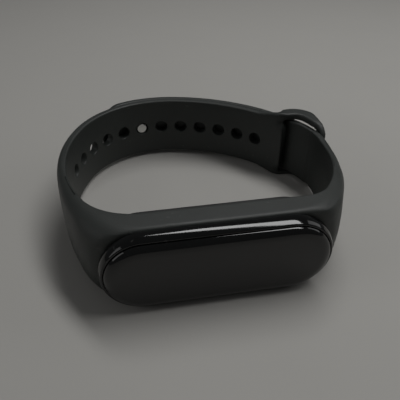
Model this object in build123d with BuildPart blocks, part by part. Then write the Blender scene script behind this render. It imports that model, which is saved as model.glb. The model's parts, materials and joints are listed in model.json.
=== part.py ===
from build123d import *
import os
from math import cos, degrees, radians, sin

# Fitness tracker band standing on the edge of its strap. Millimetres, +Z up along the axis of the
# wrist loop, the display facing -Y, +X along the capsule. The origin is under the middle of the
# loop's footprint. Every plan below is drawn in the capsule's own axes (X = 0 at the middle of the
# capsule, Y = 0 on the wrist side of the cradle), and the planes carry it to the origin.

CAPSULE_LENGTH = 46.9
LOOP = CAPSULE_LENGTH / 46.9  # the loop's plan grows and shrinks with the capsule that it carries

# Strap
BAND_HEIGHT = 18.4  # cradle and ring, the two places where the band stands
MID = BAND_HEIGHT / 2
CRADLE_DEPTH = 5.2  # wrist side to the face under the capsule's rim
HOLE_ARM_WIDTH = 16.1
HOLE_ARM_THICKNESS = 1.9
STUD_ARM_WIDTH = 15.4
STUD_ARM_THICKNESS = 1.8
LAYER_GAP = 0.5  # between the hole arm and the stud arm that lies over it
TAPER_END = 22.0 * LOOP  # both arms have their full taper this far behind the wrist side of the cradle

# Wrist surface of each arm, from the flat back of the cradle: (radius, turn in degrees)
HOLE_ARM_START = -13.8 * LOOP
HOLE_ARM_BENDS = [(13.1 * LOOP, 62.2), (36.4 * LOOP, 52.9), (22.1 * LOOP, 74.4), (41.8 * LOOP, 47.5)]
HOLE_ARM_JOIN = 75.0  # the cradle ends where the arm has turned this far
STUD_ARM_START = 19.5 * LOOP
STUD_ARM_BENDS = [(7.1 * LOOP, 50.8), (28.8 * LOOP, 31.3), (55.4 * LOOP, 8.0)]
STUD_ARM_JOIN = 64.0
CRADLE_FRONT = 19.5 * LOOP  # half the length of the cradle's front face beyond the capsule frame

# Adjustment holes and stud
HOLE_COUNT = 12
HOLE_PITCH = 5.7
FIRST_HOLE = 39.9 * LOOP  # along the wrist surface
HOLE_RADIUS = 1.7
STUD_HOLE = 6  # the hole that holds the stud
STUD_HEAD_CLEARANCE = 0.27
STUD_HEAD_LENGTH = 0.9
HEAD_ROUND = 0.2
STUD_NECK_RADIUS = 1.1
STUD_HEAD_RECESS = 0.15  # head's end below the wrist surface
STUD_CAP_RADIUS = 3.4
STUD_CAP_THICKNESS = 0.7
TIP_PAST_STUD = 11.0
TIP_CORNER = 7.2
SPLIT_GAP = 0.05  # between the stud arm and its tip, where the strap flexes

# Keeper ring
RING_ROOT = 4.0  # degrees of the hole arm's last bend that belong to the ring
RING_BAR = 2.0
RING_GAP = 0.35  # round the stud arm
RING_RISE = 1.6  # the ring's end lies this far past the stud arm's last bend
RING_END_BAR = 3.4
RING_CORNER = 4.0
RING_LEAVE = (-1, -0.25)  # heading of the ring's bars where they reach the hole arm
LAY_START = 10.0  # degrees before the hole arm's end where the stud arm starts to lie on it

# Capsule
CAPSULE_HEIGHT = 17.9
CAPSULE_DEPTH = 12.0
SEAT_GAP = 0.1
WAIST_STEP = 1.3  # from the rim's outline in to the waist that passes through the cradle
WAIST_LENGTH = CAPSULE_LENGTH - 2 * WAIST_STEP
WAIST_HEIGHT = CAPSULE_HEIGHT - 2 * WAIST_STEP
OPENING_CLEARANCE = 0.1
FRAME_WALL = 0.35  # strap frame beyond the capsule's rim at its rounded ends
RIM_DEPTH = 4.0  # front face to the back of the rim
GLASS_EDGE = 2.6
GLASS_ROUND = 2.2
GLASS_THICKNESS = 1.1
HOUSING_WALL = 1.0
HOUSING_FLOOR = 1.1
HOUSING_ROUND = 0.9
SPIGOT_DEPTH = 1.4
SPIGOT_CLEARANCE = 0.05
SPIGOT_WALL = 1.25
GASKET_WIDTH = 0.4
GASKET_DEPTH = 0.4

# Inside the capsule, depths behind the front face
POCKET_LENGTH = CAPSULE_LENGTH - 6.4
POCKET_HEIGHT = 11.6
POCKET_PLAY = 0.15
TOUCH_FILM = 0.2
PANEL_LENGTH = 27.0
PANEL_HEIGHT = 11.2
PLATE_LENGTH = 26.0
PLATE_HEIGHT = 11.4
PLATE_THICKNESS = 0.5
BATTERY_LENGTH = 25.0
BATTERY_HEIGHT = 10.3
BATTERY_GAP = 0.9  # to the main board
BATTERY_X = -0.5
BATTERY_ROUND = 0.8
TAPE_THICKNESS = 0.1
BOARD_STANDOFF = 1.5  # behind the board, for its chips
BOARD_THICKNESS = 0.7
BOARD_FRONT = CAPSULE_DEPTH - HOUSING_FLOOR - BOARD_STANDOFF - BOARD_THICKNESS
BOARD_PLAY = 0.3
FLEX_THICKNESS = 0.15
DISPLAY_FLEX_WIDTH = 6.0
BATTERY_FLEX_WIDTH = 3.0
FLEX_FOOT = 1.6
FLEX_REACH = 1.3  # how far each ribbon stands off the end of what it leaves

# Vibration motor, its shaft along Z
MOTOR_X = 15.8
MOTOR_RADIUS = 1.7
MOTOR_BOTTOM = -4.4  # from the capsule's mid height
MOTOR_LENGTH = 5.2
MOTOR_BORE_DEPTH = 4.0
SHAFT_RADIUS = 0.35
SHAFT_CLEARANCE = 0.05
WEIGHT_RADIUS = 1.5
WEIGHT_LENGTH = 2.6
WEIGHT_GAP = 0.4
PAD_THICKNESS = 0.2
PAD_WIDTH = 2.4

# Sensor group in the middle of the back
WINDOW_RADIUS = 4.7
BARRIER_LENGTH = 7.4
BARRIER_HEIGHT = 4.6
BARRIER_WALL = 0.5
LED_SIZE = 1.1
LED_OFFSET = 2.5
DIODE_LENGTH = 2.4
DIODE_HEIGHT = 2.2
OPTIC_THICKNESS = 0.6
CONTACT_X = -16.0
CONTACT_SPACING = 5.0
CONTACT_RADIUS = 0.9

# Electronics on the back of the main board
CAN_X = 10.0
CAN_SIZE = 8.0
CAN_TALL = 1.2
CAN_WALL = 0.2
CHIP_SIZE = 4.2
CHIP_TALL = 0.7
MEMORY_X = 12.4
MEMORY_SIZE = (1.8, 5.0)
CHIP_X = 8.7
MOTION_X = -8.5
MOTION_SIZE = (2.5, 3.0)
ANTENNA_LENGTH = 22.0
ANTENNA_HEIGHT = 1.0
POST_X = 19.4
POST_RADIUS = 0.8


def place(start, bends, turned, side, offset=0.0):
    """Point and unit heading on an arm's wrist surface where it has turned by `turned` degrees,
    moved outward by `offset`. side is -1 for the arm that leaves to -X, +1 for the other."""
    x, y, heading = start, 0.0, 0.0
    for radius, turn in bends:
        step = min(turn, turned - heading)
        x += side * radius * (sin(radians(heading + step)) - sin(radians(heading)))
        y += radius * (cos(radians(heading)) - cos(radians(heading + step)))
        heading += step
    way = (side * cos(radians(heading)), sin(radians(heading)))
    outward = (side * way[1], -side * way[0])
    return (x + outward[0] * offset, y + outward[1] * offset), way


def turn_at(bends, length):
    """Degrees that an arm has turned after `length` along its wrist surface."""
    turned = 0.0
    for radius, turn in bends:
        step = min(turn, degrees(length / radius))
        turned += step
        length -= radians(step) * radius
    return turned


def arm_bends(bends, first, last):
    """The bends between two turned angles."""
    turned, chosen = 0.0, []
    for radius, turn in bends:
        low, high = max(turned, first), min(turned + turn, last)
        if high > low:
            chosen.append((radius, high - low))
        turned += turn
    return chosen


def bend_radius(bends, turned):
    """Radius of the wrist surface where an arm has turned by `turned` degrees."""
    for radius, turn in bends:
        if turned <= turn:
            break
        turned -= turn
    return radius


def arm_arcs(start, bends, side, first, last, offset):
    """Adds the arm's curve between two turned angles, `offset` outside the wrist surface."""
    point, way = place(start, bends, first, side, offset)
    for radius, turn in arm_bends(bends, first, last):
        arc = JernArc(start=point, tangent=way, radius=radius + offset, arc_size=side * turn)
        point, way = arc @ 1, arc % 1
    return point, way


def hole_arm_place(turned, offset=0.0):
    return place(HOLE_ARM_START, HOLE_ARM_BENDS, turned, -1, offset)


def stud_arm_place(turned, offset=0.0):
    return place(STUD_ARM_START, STUD_ARM_BENDS, turned, 1, offset)


HOLE_ARM_END = sum(turn for radius, turn in HOLE_ARM_BENDS)
STUD_ARM_END = sum(turn for radius, turn in STUD_ARM_BENDS)
STUD_TURN = turn_at(HOLE_ARM_BENDS, FIRST_HOLE + (STUD_HOLE - 1) * HOLE_PITCH)
TIP_TURN = turn_at(HOLE_ARM_BENDS, FIRST_HOLE + (STUD_HOLE - 1) * HOLE_PITCH - TIP_PAST_STUD)
LAY_TURN = HOLE_ARM_END - LAY_START
LAY_INSIDE = HOLE_ARM_THICKNESS + LAYER_GAP
LAY_OUTSIDE = LAY_INSIDE + STUD_ARM_THICKNESS
LAY_MIDDLE = LAY_INSIDE + STUD_ARM_THICKNESS / 2


def hinge_turn():
    """Where the tip's flexing line lies: on the stud arm's outer surface, level with the middle of
    the stud's engaged length, so that the stud leaves its hole straight."""
    stud, way = hole_arm_place(STUD_TURN, HOLE_ARM_THICKNESS / 2)
    low, high = STUD_TURN, LAY_TURN
    while high - low > 1e-6:
        middle = (low + high) / 2
        point, _ = hole_arm_place(middle, LAY_OUTSIDE)
        above = (point[0] - stud[0]) * -way[1] + (point[1] - stud[1]) * way[0]
        low, high = (middle, high) if above > 0 else (low, middle)
    return low


HINGE_TURN = hinge_turn()

# Keeper ring: its bars leave the hole arm's end, cross the stud arm's edges and end outside it
RING_CROSS, _ = hole_arm_place(HOLE_ARM_END - RING_ROOT / 2, HOLE_ARM_THICKNESS / 2)
RING_SIDE, _ = stud_arm_place(STUD_ARM_END, STUD_ARM_THICKNESS + RING_BAR / 2)
RING_BOTTOM = (RING_SIDE[0], RING_SIDE[1] + RING_RISE)
RING_TOP = (RING_SIDE[0], RING_BOTTOM[1] + RING_END_BAR)
SLOT_HALF = STUD_ARM_WIDTH / 2 + RING_GAP

# The origin under the middle of the footprint
LEFT = hole_arm_place(90.0, HOLE_ARM_THICKNESS)[0][0]
RIGHT = RING_TOP[0] + RING_BAR / 2
FRONT = -CRADLE_DEPTH - SEAT_GAP - RIM_DEPTH
BACK = hole_arm_place(180.0, LAY_OUTSIDE)[0][1]
CENTRE_X = (LEFT + RIGHT) / 2
CENTRE_Y = (FRONT + BACK) / 2


REACH = 2 * max(RIGHT - LEFT, BACK - FRONT)  # past the whole band, for cuts and tapers


def level(height):
    """Plan plane at a height above the surface that the band stands on."""
    return Plane(origin=(-CENTRE_X, -CENTRE_Y, height))


def facing(depth):
    """Plane across the capsule, `depth` behind its front face, looking out to the front."""
    return Plane(origin=(-CENTRE_X, FRONT + depth - CENTRE_Y, MID), x_dir=(1, 0, 0), z_dir=(0, -1, 0))


def radial(turned, offset):
    """Plane on the hole arm, its normal pointing away from the wrist and its X axis up."""
    point, way = hole_arm_place(turned, offset)
    return Plane(
        origin=(point[0] - CENTRE_X, point[1] - CENTRE_Y, MID),
        x_dir=(0, 0, 1),
        z_dir=(-way[1], way[0], 0),
    )


def side_view(x):
    """Plane seen from +X: its X axis runs to the back and its Y axis up."""
    return Plane(origin=(x - CENTRE_X, -CENTRE_Y, MID), x_dir=(0, 1, 0), z_dir=(1, 0, 0))


def tapered(width):
    """Side outline of an arm: full height at the cradle, down to its own width at TAPER_END."""
    half = width / 2
    Polygon(
        (FRONT, MID), (0, MID), (TAPER_END, half), (REACH, half),
        (REACH, -half), (TAPER_END, -half), (0, -MID), (FRONT, -MID), align=None,
    )


def stud_arm_plan():
    """The stud arm's middle line: up from the cradle, through the ring, over the hole arm."""
    point, way = arm_arcs(
        STUD_ARM_START, STUD_ARM_BENDS, 1, STUD_ARM_JOIN, STUD_ARM_END, STUD_ARM_THICKNESS / 2
    )
    lay, lay_way = hole_arm_place(LAY_TURN, LAY_MIDDLE)
    Spline(point, lay, tangents=(way, -Vector(*lay_way)))


def stud_arm_centre():
    """The stud arm's whole middle line from the cradle to the tip's flexing line."""
    stud_arm_plan()
    arm_arcs(HOLE_ARM_START, HOLE_ARM_BENDS, -1, HINGE_TURN, LAY_TURN, LAY_MIDDLE)


def ring_bars_plan():
    """The ring's bars seen from above, from the outer end back to the hole arm."""
    Spline(RING_TOP, RING_CROSS, tangents=(Vector(0, 1), Vector(*RING_LEAVE)))


os.makedirs("parts", exist_ok=True)

# ---------------------------------------------------------------- strap

with BuildPart() as strap_cradle:
    with BuildSketch(level(0)):
        with BuildLine():
            left_in, _ = hole_arm_place(HOLE_ARM_JOIN)
            left_out, left_way = hole_arm_place(HOLE_ARM_JOIN, HOLE_ARM_THICKNESS)
            right_in, _ = stud_arm_place(STUD_ARM_JOIN)
            right_out, right_way = stud_arm_place(STUD_ARM_JOIN, STUD_ARM_THICKNESS)
            arm_arcs(HOLE_ARM_START, HOLE_ARM_BENDS, -1, 0, HOLE_ARM_JOIN, 0)
            Line(left_in, left_out)
            Spline(
                left_out, (-CRADLE_FRONT, -CRADLE_DEPTH),
                tangents=(-Vector(*left_way), Vector(1, -1)),
            )
            Line((-CRADLE_FRONT, -CRADLE_DEPTH), (CRADLE_FRONT, -CRADLE_DEPTH))
            Spline(
                (CRADLE_FRONT, -CRADLE_DEPTH), right_out,
                tangents=(Vector(1, 1), Vector(*right_way)),
            )
            Line(right_out, right_in)
            arm_arcs(STUD_ARM_START, STUD_ARM_BENDS, 1, 0, STUD_ARM_JOIN, 0)
            Line((HOLE_ARM_START, 0), (STUD_ARM_START, 0))
        make_face()
    extrude(amount=BAND_HEIGHT)
    with BuildSketch(side_view(0)):
        tapered(HOLE_ARM_WIDTH)
    extrude(amount=REACH, both=True, mode=Mode.INTERSECT)
    with BuildSketch(facing(RIM_DEPTH + SEAT_GAP)):
        SlotOverall(CAPSULE_LENGTH + 2 * FRAME_WALL, BAND_HEIGHT)
    extrude(amount=-CRADLE_DEPTH)
    with BuildSketch(facing(0)):
        SlotOverall(WAIST_LENGTH + 2 * OPENING_CLEARANCE, WAIST_HEIGHT + 2 * OPENING_CLEARANCE)
    extrude(amount=-REACH / 2, mode=Mode.SUBTRACT)
strap_cradle.part.label = "strap_cradle"
export_step(strap_cradle.part, "parts/strap_cradle.step")

with BuildPart() as hole_arm:
    with BuildSketch(level(0)):
        with BuildLine():
            arm_arcs(
                HOLE_ARM_START, HOLE_ARM_BENDS, -1, HOLE_ARM_JOIN, HOLE_ARM_END - RING_ROOT,
                HOLE_ARM_THICKNESS / 2,
            )
        trace(line_width=HOLE_ARM_THICKNESS)
    extrude(amount=BAND_HEIGHT)
    with BuildSketch(side_view(0)):
        tapered(HOLE_ARM_WIDTH)
    extrude(amount=REACH, both=True, mode=Mode.INTERSECT)
    for number in range(HOLE_COUNT):
        turned = turn_at(HOLE_ARM_BENDS, FIRST_HOLE + number * HOLE_PITCH)
        with BuildSketch(radial(turned, HOLE_ARM_THICKNESS / 2)):
            Circle(HOLE_RADIUS)
        extrude(amount=HOLE_ARM_THICKNESS, both=True, mode=Mode.SUBTRACT)
hole_arm.part.label = "hole_arm"
export_step(hole_arm.part, "parts/hole_arm.step")

with BuildPart() as stud_arm:
    with BuildSketch(level(0)):
        with BuildLine():
            stud_arm_centre()
        trace(line_width=STUD_ARM_THICKNESS)
    extrude(amount=BAND_HEIGHT)
    with BuildSketch(side_view(0)):
        tapered(STUD_ARM_WIDTH)
    extrude(amount=REACH, both=True, mode=Mode.INTERSECT)
stud_arm.part.label = "stud_arm"
export_step(stud_arm.part, "parts/stud_arm.step")

with BuildPart() as buckle_ring:
    with BuildSketch(level(0)):
        with BuildLine():
            arm_arcs(
                HOLE_ARM_START, HOLE_ARM_BENDS, -1, HOLE_ARM_END - RING_ROOT, HOLE_ARM_END,
                HOLE_ARM_THICKNESS / 2,
            )
        trace(line_width=HOLE_ARM_THICKNESS)
        with BuildLine():
            Line(RING_BOTTOM, RING_TOP)
        trace(line_width=RING_BAR)
    extrude(amount=BAND_HEIGHT)
    with BuildSketch(level(0), level(MID + SLOT_HALF)):
        with BuildLine():
            ring_bars_plan()
        trace(line_width=RING_BAR)
    extrude(amount=MID - SLOT_HALF)
    with BuildSketch(level(MID - SLOT_HALF)):
        with BuildLine():
            stud_arm_plan()
        trace(line_width=STUD_ARM_THICKNESS + 2 * RING_GAP)
    extrude(amount=2 * SLOT_HALF, mode=Mode.SUBTRACT)
    with BuildSketch(side_view(0)):
        with Locations((RING_BOTTOM[1], 0)):
            RectangleRounded(REACH, BAND_HEIGHT, RING_CORNER, align=(Align.MIN, Align.CENTER))
    extrude(amount=REACH, both=True, mode=Mode.INTERSECT)
buckle_ring.part.label = "buckle_ring"
export_step(buckle_ring.part, "parts/buckle_ring.step")

# ---------------------------------------------------------------- tip with its stud

SPLIT_TURN = degrees(SPLIT_GAP / (bend_radius(HOLE_ARM_BENDS, HINGE_TURN) + LAY_MIDDLE))

with BuildPart() as stud_arm_tip:
    with BuildSketch(level(0)):
        with BuildLine():
            arm_arcs(
                HOLE_ARM_START, HOLE_ARM_BENDS, -1, TIP_TURN, HINGE_TURN - SPLIT_TURN, LAY_MIDDLE
            )
        trace(line_width=STUD_ARM_THICKNESS)
    extrude(amount=BAND_HEIGHT)
    with BuildSketch(radial(TIP_TURN, LAY_MIDDLE)):
        RectangleRounded(STUD_ARM_WIDTH, REACH, TIP_CORNER, align=(Align.CENTER, Align.MIN))
    extrude(amount=REACH, both=True, mode=Mode.INTERSECT)
    with BuildSketch(radial(STUD_TURN, LAY_OUTSIDE - STUD_CAP_THICKNESS)):
        Circle(STUD_CAP_RADIUS)
    extrude(amount=2 * STUD_CAP_THICKNESS, mode=Mode.SUBTRACT)
    with BuildSketch(radial(STUD_TURN, 0)):
        Circle(STUD_NECK_RADIUS)
    extrude(amount=LAY_OUTSIDE, mode=Mode.SUBTRACT)
stud_arm_tip.part.label = "stud_arm_tip"
export_step(stud_arm_tip.part, "parts/stud_arm_tip.step")

with BuildPart() as stud_pin:
    with BuildSketch(radial(STUD_TURN, STUD_HEAD_RECESS)):
        Circle(HOLE_RADIUS - STUD_HEAD_CLEARANCE)
    extrude(amount=STUD_HEAD_LENGTH)
    with BuildSketch(radial(STUD_TURN, STUD_HEAD_RECESS)):
        Circle(STUD_NECK_RADIUS)
    extrude(amount=LAY_OUTSIDE - STUD_CAP_THICKNESS - STUD_HEAD_RECESS)
    fillet(stud_pin.edges().filter_by(GeomType.CIRCLE).group_by(SortBy.RADIUS)[-1], HEAD_ROUND)
stud_pin.part.label = "stud_pin"
export_step(stud_pin.part, "parts/stud_pin.step")

with BuildPart() as stud_cap:
    with BuildSketch(radial(STUD_TURN, LAY_OUTSIDE - STUD_CAP_THICKNESS)):
        Circle(STUD_CAP_RADIUS)
    extrude(amount=STUD_CAP_THICKNESS)
stud_cap.part.label = "stud_cap"
export_step(stud_cap.part, "parts/stud_cap.step")

# ---------------------------------------------------------------- capsule, front

with BuildPart() as cover_glass:
    with BuildSketch(facing(0)):
        SlotOverall(CAPSULE_LENGTH, CAPSULE_HEIGHT)
    extrude(amount=-GLASS_EDGE)
    fillet(cover_glass.faces().sort_by(Axis.Y)[0].edges(), GLASS_ROUND)
    with BuildSketch(facing(GLASS_THICKNESS)):
        SlotOverall(POCKET_LENGTH, POCKET_HEIGHT)
    extrude(amount=-GLASS_EDGE, mode=Mode.SUBTRACT)
cover_glass.part.label = "cover_glass"
export_step(cover_glass.part, "parts/cover_glass.step")

with BuildPart() as touch_film:
    with BuildSketch(facing(GLASS_THICKNESS)):
        SlotOverall(POCKET_LENGTH - 2 * POCKET_PLAY, POCKET_HEIGHT - 2 * POCKET_PLAY)
    extrude(amount=-TOUCH_FILM)
touch_film.part.label = "touch_film"
export_step(touch_film.part, "parts/touch_film.step")

PANEL_FRONT = GLASS_THICKNESS + TOUCH_FILM

with BuildPart() as display_panel:
    with BuildSketch(facing(PANEL_FRONT)):
        Rectangle(PANEL_LENGTH, PANEL_HEIGHT)
    extrude(amount=PANEL_FRONT - GLASS_EDGE)
display_panel.part.label = "display_panel"
export_step(display_panel.part, "parts/display_panel.step")

with BuildPart() as display_plate:
    with BuildSketch(facing(GLASS_EDGE)):
        Rectangle(PLATE_LENGTH, PLATE_HEIGHT)
    extrude(amount=-PLATE_THICKNESS)
display_plate.part.label = "display_plate"
export_step(display_plate.part, "parts/display_plate.step")

INNER_LENGTH = WAIST_LENGTH - 2 * HOUSING_WALL
INNER_HEIGHT = WAIST_HEIGHT - 2 * HOUSING_WALL
SPIGOT_LENGTH = INNER_LENGTH - 2 * SPIGOT_CLEARANCE
SPIGOT_HEIGHT = INNER_HEIGHT - 2 * SPIGOT_CLEARANCE

with BuildPart() as front_frame:
    with BuildSketch(facing(GLASS_EDGE)):
        SlotOverall(CAPSULE_LENGTH, CAPSULE_HEIGHT)
    extrude(amount=GLASS_EDGE - RIM_DEPTH)
    with BuildSketch(facing(RIM_DEPTH)):
        SlotOverall(SPIGOT_LENGTH, SPIGOT_HEIGHT)
    extrude(amount=-SPIGOT_DEPTH)
    with BuildSketch(facing(GLASS_EDGE)):
        SlotOverall(SPIGOT_LENGTH - 2 * SPIGOT_WALL, SPIGOT_HEIGHT - 2 * SPIGOT_WALL)
    extrude(amount=-CAPSULE_DEPTH, mode=Mode.SUBTRACT)
    with BuildSketch(facing(GLASS_EDGE)):
        Rectangle(PLATE_LENGTH, PLATE_HEIGHT)
    extrude(amount=-PLATE_THICKNESS, mode=Mode.SUBTRACT)
front_frame.part.label = "front_frame"
export_step(front_frame.part, "parts/front_frame.step")

# ---------------------------------------------------------------- capsule, back

BOARD_BACK = BOARD_FRONT + BOARD_THICKNESS
FLOOR_FRONT = CAPSULE_DEPTH - HOUSING_FLOOR
GASKET_MARGIN = HOUSING_WALL - GASKET_WIDTH

with BuildPart() as sealing_gasket:
    with BuildSketch(facing(RIM_DEPTH)):
        SlotOverall(WAIST_LENGTH - GASKET_MARGIN, WAIST_HEIGHT - GASKET_MARGIN)
        SlotOverall(
            WAIST_LENGTH - GASKET_MARGIN - 2 * GASKET_WIDTH,
            WAIST_HEIGHT - GASKET_MARGIN - 2 * GASKET_WIDTH,
            mode=Mode.SUBTRACT,
        )
    extrude(amount=-GASKET_DEPTH)
sealing_gasket.part.label = "sealing_gasket"
export_step(sealing_gasket.part, "parts/sealing_gasket.step")

with BuildPart() as back_housing:
    with BuildSketch(facing(RIM_DEPTH)):
        SlotOverall(WAIST_LENGTH, WAIST_HEIGHT)
    extrude(amount=RIM_DEPTH - CAPSULE_DEPTH)
    fillet(back_housing.faces().sort_by(Axis.Y)[-1].edges(), HOUSING_ROUND)
    with BuildSketch(facing(RIM_DEPTH)):
        SlotOverall(INNER_LENGTH, INNER_HEIGHT)
    extrude(amount=RIM_DEPTH - FLOOR_FRONT, mode=Mode.SUBTRACT)
    with BuildSketch(facing(RIM_DEPTH)):
        SlotOverall(WAIST_LENGTH - GASKET_MARGIN, WAIST_HEIGHT - GASKET_MARGIN)
        SlotOverall(
            WAIST_LENGTH - GASKET_MARGIN - 2 * GASKET_WIDTH,
            WAIST_HEIGHT - GASKET_MARGIN - 2 * GASKET_WIDTH,
            mode=Mode.SUBTRACT,
        )
    extrude(amount=-GASKET_DEPTH, mode=Mode.SUBTRACT)
    with BuildSketch(facing(BOARD_BACK)):
        with Locations((-POST_X, 0), (POST_X, 0)):
            Circle(POST_RADIUS)
    extrude(amount=BOARD_BACK - FLOOR_FRONT)
    with BuildSketch(facing(FLOOR_FRONT)):
        Circle(WINDOW_RADIUS)
        with Locations((CONTACT_X, 0)):
            with GridLocations(0, CONTACT_SPACING, 1, 2):
                Circle(CONTACT_RADIUS)
    extrude(amount=-HOUSING_FLOOR, mode=Mode.SUBTRACT)
back_housing.part.label = "back_housing"
export_step(back_housing.part, "parts/back_housing.step")

with BuildPart() as sensor_window:
    with BuildSketch(facing(FLOOR_FRONT)):
        Circle(WINDOW_RADIUS)
    extrude(amount=-HOUSING_FLOOR)
sensor_window.part.label = "sensor_window"
export_step(sensor_window.part, "parts/sensor_window.step")

with BuildPart() as charging_contacts:
    with BuildSketch(facing(BOARD_BACK)):
        with Locations((CONTACT_X, 0)):
            with GridLocations(0, CONTACT_SPACING, 1, 2):
                Circle(CONTACT_RADIUS)
    extrude(amount=BOARD_BACK - CAPSULE_DEPTH)
charging_contacts.part.label = "charging_contacts"
export_step(charging_contacts.part, "parts/charging_contacts.step")

# ---------------------------------------------------------------- capsule, electronics

with BuildPart() as main_board:
    with BuildSketch(facing(BOARD_FRONT)):
        SlotOverall(INNER_LENGTH - 2 * BOARD_PLAY, INNER_HEIGHT - 2 * BOARD_PLAY)
    extrude(amount=-BOARD_THICKNESS)
main_board.part.label = "main_board"
export_step(main_board.part, "parts/main_board.step")

with BuildPart() as processor_chip:
    with BuildSketch(facing(BOARD_BACK)):
        with Locations((CHIP_X, 0)):
            Rectangle(CHIP_SIZE, CHIP_SIZE)
    extrude(amount=-CHIP_TALL)
processor_chip.part.label = "processor_chip"
export_step(processor_chip.part, "parts/processor_chip.step")

with BuildPart() as memory_chip:
    with BuildSketch(facing(BOARD_BACK)):
        with Locations((MEMORY_X, 0)):
            Rectangle(*MEMORY_SIZE)
    extrude(amount=-CHIP_TALL)
memory_chip.part.label = "memory_chip"
export_step(memory_chip.part, "parts/memory_chip.step")

with BuildPart() as motion_sensor:
    with BuildSketch(facing(BOARD_BACK)):
        with Locations((MOTION_X, 0)):
            Rectangle(*MOTION_SIZE)
    extrude(amount=-CHIP_TALL)
motion_sensor.part.label = "motion_sensor"
export_step(motion_sensor.part, "parts/motion_sensor.step")

with BuildPart() as shield_can:
    with BuildSketch(facing(BOARD_BACK)):
        with Locations((CAN_X, 0)):
            Rectangle(CAN_SIZE, CAN_SIZE)
    extrude(amount=-CAN_TALL)
    with BuildSketch(facing(BOARD_BACK)):
        with Locations((CAN_X, 0)):
            Rectangle(CAN_SIZE - 2 * CAN_WALL, CAN_SIZE - 2 * CAN_WALL)
    extrude(amount=CAN_WALL - CAN_TALL, mode=Mode.SUBTRACT)
shield_can.part.label = "shield_can"
export_step(shield_can.part, "parts/shield_can.step")

ANTENNA_Z = INNER_HEIGHT / 2 - BOARD_PLAY - ANTENNA_HEIGHT

with BuildPart() as antenna_strip:
    with BuildSketch(facing(BOARD_FRONT)):
        with Locations((0, ANTENNA_Z)):
            Rectangle(ANTENNA_LENGTH, ANTENNA_HEIGHT)
    extrude(amount=PAD_THICKNESS)
antenna_strip.part.label = "antenna_strip"
export_step(antenna_strip.part, "parts/antenna_strip.step")

with BuildPart() as sensor_leds:
    with BuildSketch(facing(BOARD_BACK)):
        with GridLocations(2 * LED_OFFSET, 0, 2, 1):
            Rectangle(LED_SIZE, LED_SIZE)
    extrude(amount=-OPTIC_THICKNESS)
sensor_leds.part.label = "sensor_leds"
export_step(sensor_leds.part, "parts/sensor_leds.step")

with BuildPart() as photodiode:
    with BuildSketch(facing(BOARD_BACK)):
        Rectangle(DIODE_LENGTH, DIODE_HEIGHT)
    extrude(amount=-OPTIC_THICKNESS)
photodiode.part.label = "photodiode"
export_step(photodiode.part, "parts/photodiode.step")

with BuildPart() as light_barrier:
    with BuildSketch(facing(BOARD_BACK)):
        Rectangle(BARRIER_LENGTH, BARRIER_HEIGHT)
        Rectangle(DIODE_LENGTH + BARRIER_WALL, DIODE_HEIGHT + BARRIER_WALL, mode=Mode.SUBTRACT)
        with GridLocations(2 * LED_OFFSET, 0, 2, 1):
            Rectangle(LED_SIZE + BARRIER_WALL, LED_SIZE + BARRIER_WALL, mode=Mode.SUBTRACT)
    extrude(amount=BOARD_BACK - FLOOR_FRONT)
light_barrier.part.label = "light_barrier"
export_step(light_barrier.part, "parts/light_barrier.step")

# ---------------------------------------------------------------- capsule, battery and ribbons

TAPE_FRONT = GLASS_EDGE + PLATE_THICKNESS
BATTERY_FRONT = TAPE_FRONT + TAPE_THICKNESS
BATTERY_BACK = BOARD_FRONT - BATTERY_GAP

with BuildPart() as battery_tape:
    with BuildSketch(facing(TAPE_FRONT)):
        with Locations((BATTERY_X, 0)):
            Rectangle(BATTERY_LENGTH - 2 * FLEX_FOOT, BATTERY_HEIGHT)
    extrude(amount=-TAPE_THICKNESS)
battery_tape.part.label = "battery_tape"
export_step(battery_tape.part, "parts/battery_tape.step")

with BuildPart() as battery:
    with BuildSketch(facing(BATTERY_FRONT)):
        with Locations((BATTERY_X, 0)):
            Rectangle(BATTERY_LENGTH, BATTERY_HEIGHT)
    extrude(amount=BATTERY_FRONT - BATTERY_BACK)
    fillet(battery.edges().filter_by(Axis.X), BATTERY_ROUND)
battery.part.label = "battery"
export_step(battery.part, "parts/battery.step")


def ribbon_plan(start_x, start_depth, reach):
    """A ribbon seen from above: off the end of a piece, back to the board, and a foot on it."""
    board_face = FRONT + BOARD_FRONT - FLEX_THICKNESS / 2
    turn_x = start_x + reach
    foot_x = turn_x - FLEX_FOOT * reach / abs(reach)
    Polyline(
        (start_x, FRONT + start_depth), (turn_x, FRONT + start_depth),
        (turn_x, board_face), (foot_x, board_face),
    )


with BuildPart() as display_flex:
    with BuildSketch(level(MID)):
        with BuildLine():
            ribbon_plan(-PANEL_LENGTH / 2, GLASS_EDGE - FLEX_THICKNESS, -FLEX_REACH)
        trace(line_width=FLEX_THICKNESS)
    extrude(amount=DISPLAY_FLEX_WIDTH / 2, both=True)
display_flex.part.label = "display_flex"
export_step(display_flex.part, "parts/display_flex.step")

with BuildPart() as battery_flex:
    with BuildSketch(level(MID)):
        with BuildLine():
            ribbon_plan(
                BATTERY_X + BATTERY_LENGTH / 2, (BATTERY_FRONT + BATTERY_BACK) / 2, FLEX_REACH
            )
        trace(line_width=FLEX_THICKNESS)
    extrude(amount=BATTERY_FLEX_WIDTH / 2, both=True)
battery_flex.part.label = "battery_flex"
export_step(battery_flex.part, "parts/battery_flex.step")

# ---------------------------------------------------------------- capsule, vibration motor

MOTOR_DEPTH = BOARD_FRONT - PAD_THICKNESS - MOTOR_RADIUS
MOTOR_AXIS = (MOTOR_X, FRONT + MOTOR_DEPTH)
MOTOR_TOP = MOTOR_BOTTOM + MOTOR_LENGTH

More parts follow.
